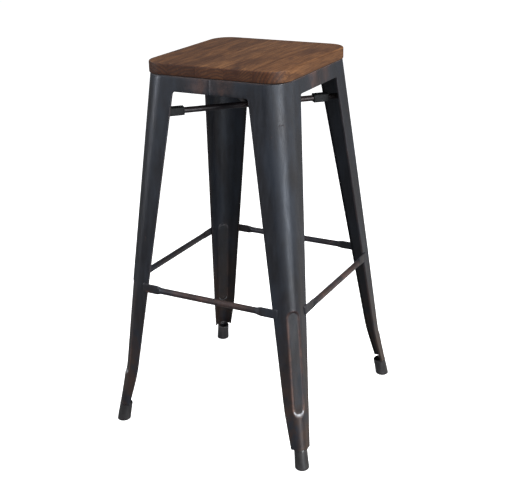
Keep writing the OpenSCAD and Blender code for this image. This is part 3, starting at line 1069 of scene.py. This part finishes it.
def lacquer_material(name, wear=1.0, tone=1.0):
    """Dark gunmetal lacquer, rubbed through to a coppery brown where hands and feet wear it.

    Above 0, the second mesh attribute paints shade into the flute and roughens it; below 0 it paints a
    highlight as glossy bright bare metal.
    """
    material, tree, shader, coords = new_material(name)
    cloud = noise(tree, coords, (1, 1, 0.35), 22.0, 4.0, 0.6)
    streak = noise(tree, coords, (1, 1, 0.08), 150.0, 3.0, 0.6, (3, 1, 0))
    fleck = noise(tree, coords, (1, 1, 1), 420.0, 3.0, 0.7, (7, 2, 5))
    blotch = noise(tree, coords, (1, 1, 0.8), 34.0, 4.0, 0.65, (11, 5, 9))
    colour = lacquer_paint(tree, coords, cloud, streak, blotch)
    colour = mix(tree, lacquer_wear(tree, fleck, blotch, wear), colour, COPPER)
    # A tone below 1 darkens the whole lacquer; the inside copy uses it as painted shade.
    colour = mix(tree, 1.0, colour, (tone, tone, tone, 1), "MULTIPLY")
    recess = node(tree, "ShaderNodeAttribute", attribute_name="shade_and_glint").outputs["Fac"]
    # Painted shade: above 0 the attribute darkens the flute's floor.
    colour = mix(tree, smooth_range(tree, recess, 0.0, 1.0, 0.0, 0.4), colour, STEEL_PAINTED_SHADE)
    # Painted highlight: below 0 the attribute turns the lacquer into glossy, more metallic, bright bare
    # metal.
    painted_glint = smooth_range(tree, recess, -0.3, -1.0)
    rough = smooth_range(tree, maths(tree, "ADD", fleck, streak), 0.7, 1.3, 0.31, 0.52)
    rough = maths(tree, "ADD", rough, maths(tree, "MULTIPLY", maths(tree, "ABSOLUTE", recess), 0.12))
    tree.links.new(mix(tree, painted_glint, colour, STEEL_PAINTED_GLINT), shader.inputs["Base Color"])
    tree.links.new(maths(tree, "ADD", 0.35, maths(tree, "MULTIPLY", painted_glint, 0.6)), shader.inputs["Metallic"])
    tree.links.new(rough, shader.inputs["Roughness"])
    shader.inputs["Specular IOR Level"].default_value = 0.5
    bump(tree, shader, maths(tree, "ADD", fleck, maths(tree, "MULTIPLY", cloud, 2.0)), 0.00012, 0.5)
    return material


def rubber_material():
    material, tree, shader, coords = new_material("foot_rubber")
    grain = noise(tree, coords, (1, 1, 1), 700.0, 3.0, 0.7)
    dust = noise(tree, coords, (1, 1, 0.4), 90.0, 4.0, 0.6, (2, 4, 1))
    colour = mix(tree, smooth_range(tree, dust, 0.4, 0.75), linear((33, 31, 32)), linear((56, 53, 53)))
    colour = mix(tree, smooth_range(tree, grain, 0.55, 0.8, 0.0, 0.4), colour, linear((40, 36, 36)))
    tree.links.new(colour, shader.inputs["Base Color"])
    rim = node(tree, "ShaderNodeAttribute", attribute_name="rub").outputs["Fac"]
    rough = smooth_range(tree, grain, 0.3, 0.8, 0.4, 0.6)
    rough = maths(tree, "SUBTRACT", rough, maths(tree, "MULTIPLY", rim, 0.35), clamp=True)
    tree.links.new(rough, shader.inputs["Roughness"])
    bump(tree, shader, grain, 0.00015, 0.5)
    return material


def plastic_material():
    material, tree, shader, coords = new_material("bumper_plastic")
    grain = noise(tree, coords, (1, 1, 1), 900.0, 2.0, 0.6)
    scuff = noise(tree, coords, (1, 0.2, 1), 160.0, 3.0, 0.6, (1, 2, 3))
    colour = mix(tree, smooth_range(tree, scuff, 0.45, 0.75), linear((15, 15, 17)), linear((28, 29, 33)))
    tree.links.new(colour, shader.inputs["Base Color"])
    tree.links.new(smooth_range(tree, grain, 0.3, 0.8, 0.55, 0.72), shader.inputs["Roughness"])
    shader.inputs["Specular IOR Level"].default_value = 0.3
    bump(tree, shader, grain, 0.0001, 0.4)
    return material


def zinc_material():
    material, tree, shader, coords = new_material("zinc_plate")
    spangle = noise(tree, coords, (1, 1, 1), 500.0, 3.0, 0.6)
    share = smooth_range(tree, spangle, 0.35, 0.7)
    colour = mix(tree, share, linear((150, 150, 155)), linear((190, 190, 192)))
    tree.links.new(colour, shader.inputs["Base Color"])
    tree.links.new(smooth_range(tree, spangle, 0.3, 0.8, 0.28, 0.5), shader.inputs["Roughness"])
    shader.inputs["Metallic"].default_value = 1.0
    bump(tree, shader, spangle, 0.0001, 0.3)
    return material


def pan_material():
    material, tree, shader, coords = new_material("pan_paint")
    speck = noise(tree, coords, (1, 1, 1), 260.0, 3.0, 0.6)
    cloud = noise(tree, coords, (1, 1, 1), 14.0, 3.0, 0.5, (1, 0, 4))
    colour = mix(tree, smooth_range(tree, cloud, 0.4, 0.7), linear((26, 27, 30)), linear((38, 39, 43)))
    colour = mix(tree, smooth_range(tree, speck, 0.6, 0.8, 0.0, 0.5), colour, linear((58, 50, 46)))
    tree.links.new(colour, shader.inputs["Base Color"])
    tree.links.new(smooth_range(tree, speck, 0.3, 0.8, 0.5, 0.7), shader.inputs["Roughness"])
    bump(tree, shader, speck, 0.0002, 0.4)
    return material


def dress(name, material):
    """Gives a carried-over CAD node its finished material."""
    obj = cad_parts[name]
    obj.data.materials.clear()
    obj.data.materials.append(material)


def make_floor():
    """A wide white floor that glows a little, is clear from below and casts no shadow."""
    size = 60.0
    mesh = bpy.data.meshes.new("floor")
    cells = 8
    rows = [[(size * (i / cells - 0.5), size * (j / cells - 0.5), 0) for i in range(cells + 1)]
            for j in range(cells + 1)]
    mesh.from_pydata([p for row in rows for p in row], [], grid_faces(cells + 1, cells + 1))
    floor = bpy.data.objects.new("floor", mesh)
    bpy.context.scene.collection.objects.link(floor)
    material, tree, shader, _ = new_material("floor")
    shader.inputs["Base Color"].default_value = (0.92, 0.92, 0.92, 1)
    shader.inputs["Roughness"].default_value = 0.9
    shader.inputs["Specular IOR Level"].default_value = 0.1
    shader.inputs["Emission Color"].default_value = (1, 1, 1, 1)
    shader.inputs["Emission Strength"].default_value = 0.82
    behind = node(tree, "ShaderNodeNewGeometry").outputs["Backfacing"]
    clear = node(tree, "ShaderNodeBsdfTransparent").outputs[0]
    both = node(tree, "ShaderNodeMixShader", {0: behind, 1: shader.outputs[0], 2: clear})
    tree.links.new(both.outputs[0], tree.nodes["Material Output"].inputs[0])
    mesh.materials.append(material)
    floor.visible_diffuse = False
    floor.visible_glossy = False
    floor.visible_shadow = False


def make_world():
    """White to the camera, and a dim even fill for everything else."""
    world = bpy.data.worlds.new("studio")
    bpy.context.scene.world = world
    world.use_nodes = True
    tree = world.node_tree
    fill = tree.nodes["Background"]
    fill.inputs[0].default_value = (0.9, 0.95, 1.0, 1)
    fill.inputs[1].default_value = 0.22
    white = node(tree, "ShaderNodeBackground", {0: (1, 1, 1, 1), 1: 1.0})
    seen = node(tree, "ShaderNodeLightPath").outputs["Is Camera Ray"]
    both = node(tree, "ShaderNodeMixShader", {0: seen, 1: fill.outputs[0], 2: white.outputs[0]})
    tree.links.new(both.outputs[0], tree.nodes["World Output"].inputs[0])


make_camera()
make_world()
make_lights()
make_floor()
bpy.context.scene.view_settings.view_transform = "Standard"

lacquer = lacquer_material("frame_lacquer")
# The inside copy: real lighter wear, and darker by its tone as painted shade.
make_legs(lacquer, lacquer_material("frame_lacquer_inside", wear=0.12, tone=0.9))
make_rails(lacquer)
make_braces(lacquer)
make_welds(lacquer)
make_rail_welds(lacquer)
make_bumpers(plastic_material())
make_feet(rubber_material())
make_planks()
dress("seat_pan", pan_material())
zinc = zinc_material()
dress("seat_screws", zinc)
dress("seat_washers", zinc)
